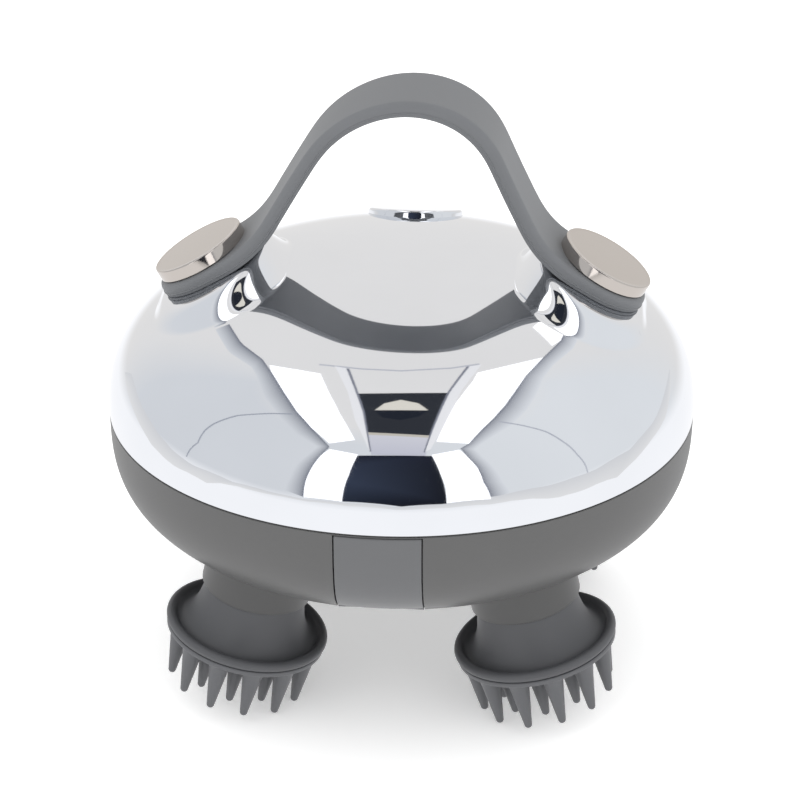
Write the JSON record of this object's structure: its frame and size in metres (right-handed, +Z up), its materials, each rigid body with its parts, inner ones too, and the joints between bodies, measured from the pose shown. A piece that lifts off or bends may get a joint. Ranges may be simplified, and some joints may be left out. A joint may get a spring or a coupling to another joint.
{
  "type": "electric scalp massager",
  "caption": "Palm-held electric scalp massager: chromed dome with an arched silicone finger strap, a power button and geared kneading heads with silicone fingers.",
  "frame": {"origin": "on the resting plane under the middle of the body, level with the lowest finger tips", "axes": "+Z up, +X along the finger strap, -Y towards the charging cover, +Y towards the power button"},
  "size_m": [0.112, 0.112, 0.114],
  "materials": {
    "chrome_shell": "mirror polished chrome plating",
    "casing_grey": "fine matt soft-touch coat",
    "strap_silicone": "satin silicone",
    "cover_grey": "satin silicone, a little bluer than the casing",
    "dish_grey": "fine matt",
    "finger_silicone": "satin silicone",
    "nickel": "satin nickel face with a polished edge",
    "button_chrome": "mirror polished chrome plating",
    "seal_rubber": "satin",
    "screw_steel": "zinc plated",
    "board_green": "solder mask",
    "chip_black": "moulded",
    "socket_steel": "stamped steel",
    "frame_plastic": "moulded",
    "gear_nylon": "satin acetal",
    "shaft_steel": "ground",
    "bush_bronze": "sintered",
    "motor_steel": "drawn can",
    "magnet_black": "ferrite",
    "copper": "enamelled winding on laminations",
    "cell_blue": "shrink sleeve",
    "lead_red": "insulation",
    "lead_black": "insulation"
  },
  "bodies": {
    "housing": {"top_cover": "chrome_shell", "lower_casing": "casing_grey", "seam_gasket": "seal_rubber", "casing_screws": "screw_steel", "neck_seals": "seal_rubber", "finger_strap": "strap_silicone", "strap_wedges": "chrome_shell", "stud_caps": "nickel", "stud_nuts": "screw_steel", "switch_body": "socket_steel", "control_board": "board_green", "board_chips": "chip_black", "board_screws": "screw_steel", "charging_socket": "socket_steel", "charging_board": "board_green", "lower_gear_plate": "frame_plastic", "upper_gear_plate": "frame_plastic", "gearbox_screws": "screw_steel", "shaft_bushes": "bush_bronze", "motor_can": "motor_steel", "motor_end_cap": "chip_black", "motor_magnets": "magnet_black", "reduction_axle": "shaft_steel", "centre_axle": "shaft_steel", "battery_cell": "cell_blue", "battery_cradle": "frame_plastic", "motor_leads": "lead_red", "battery_leads": "lead_black"},
    "power_button": {"power_button": "button_chrome", "switch_plunger": "seal_rubber"},
    "charging_flap": {"charging_cover": "cover_grey"},
    "centre_wheel": {"centre_gear": "gear_nylon"},
    "reduction_wheel": {"reduction_gear": "gear_nylon"},
    "rotor": {"motor_armature": "copper", "motor_shaft": "shaft_steel", "motor_pinion": "bush_bronze"},
    "crank_fl": {"head_gear_fl": "gear_nylon", "crank_shaft_fl": "shaft_steel"},
    "head_fl": {"neck_fl": "casing_grey", "dish_fl": "dish_grey", "finger_pad_fl": "finger_silicone"},
    "crank_fr": {"head_gear_fr": "gear_nylon", "crank_shaft_fr": "shaft_steel"},
    "head_fr": {"neck_fr": "casing_grey", "dish_fr": "dish_grey", "finger_pad_fr": "finger_silicone"},
    "crank_bl": {"head_gear_bl": "gear_nylon", "crank_shaft_bl": "shaft_steel"},
    "head_bl": {"neck_bl": "casing_grey", "dish_bl": "dish_grey", "finger_pad_bl": "finger_silicone"},
    "crank_br": {"head_gear_br": "gear_nylon", "crank_shaft_br": "shaft_steel"},
    "head_br": {"neck_br": "casing_grey", "dish_br": "dish_grey", "finger_pad_br": "finger_silicone"}
  },
  "joints": [
    {"name": "power_press", "type": "slide", "parent": "housing", "child": "power_button", "axis": [0, -0.3274, -0.9449], "range_m": [0, 0.0005], "stiffness_N_per_m": 4000},
    {"name": "cover_hinge", "type": "hinge", "parent": "housing", "child": "charging_flap", "pos_m": [0, -0.04636, 0.0323], "axis": [1, 0, 0], "range_deg": [0, 100], "stiffness_Nm_per_rad": 0.01},
    {"name": "centre_turn", "type": "hinge", "parent": "housing", "child": "centre_wheel", "pos_m": [0, 0, 0.0433], "axis": [0, 0, 1], "continuous": true},
    {"name": "reduction_turn", "type": "hinge", "parent": "housing", "child": "reduction_wheel", "pos_m": [0.024, 0, 0.0453], "axis": [0, 0, 1], "continuous": true},
    {"name": "motor_turn", "type": "hinge", "parent": "housing", "child": "rotor", "pos_m": [0.00788, 0.008, 0.0613], "axis": [0, 0, 1], "continuous": true},
    {"name": "crank_turn_fl", "type": "hinge", "parent": "housing", "child": "crank_fl", "pos_m": [-0.0233, -0.02638, 0.0328], "axis": [0, 0, 1], "continuous": true},
    {"name": "head_swivel_fl", "type": "hinge", "parent": "crank_fl", "child": "head_fl", "pos_m": [-0.0233, -0.02638, 0.0328], "axis": [0.2198, 0, 0.9755], "continuous": true},
    {"name": "crank_turn_fr", "type": "hinge", "parent": "housing", "child": "crank_fr", "pos_m": [0.0233, -0.02638, 0.0328], "axis": [0, 0, 1], "continuous": true},
    {"name": "head_swivel_fr", "type": "hinge", "parent": "crank_fr", "child": "head_fr", "pos_m": [0.0233, -0.02638, 0.0328], "axis": [-0.2198, 0, 0.9755], "continuous": true},
    {"name": "crank_turn_bl", "type": "hinge", "parent": "housing", "child": "crank_bl", "pos_m": [-0.0233, 0.02638, 0.0328], "axis": [0, 0, 1], "continuous": true},
    {"name": "head_swivel_bl", "type": "hinge", "parent": "crank_bl", "child": "head_bl", "pos_m": [-0.0233, 0.02638, 0.0328], "axis": [0.2198, 0, 0.9755], "continuous": true},
    {"name": "crank_turn_br", "type": "hinge", "parent": "housing", "child": "crank_br", "pos_m": [0.0233, 0.02638, 0.0328], "axis": [0, 0, 1], "continuous": true},
    {"name": "head_swivel_br", "type": "hinge", "parent": "crank_br", "child": "head_br", "pos_m": [0.0233, 0.02638, 0.0328], "axis": [-0.2198, 0, 0.9755], "continuous": true}
  ],
  "couplings": [
    {"joint": "reduction_turn", "follows": "centre_turn", "ratio": -2.75},
    {"joint": "motor_turn", "follows": "centre_turn", "ratio": 17.05},
    {"joint": "crank_turn_fl", "follows": "centre_turn", "ratio": -1},
    {"joint": "head_swivel_fl", "follows": "centre_turn", "ratio": 1},
    {"joint": "crank_turn_fr", "follows": "centre_turn", "ratio": -1},
    {"joint": "head_swivel_fr", "follows": "centre_turn", "ratio": 1},
    {"joint": "crank_turn_bl", "follows": "centre_turn", "ratio": -1},
    {"joint": "head_swivel_bl", "follows": "centre_turn", "ratio": 1},
    {"joint": "crank_turn_br", "follows": "centre_turn", "ratio": -1},
    {"joint": "head_swivel_br", "follows": "centre_turn", "ratio": 1}
  ]
}
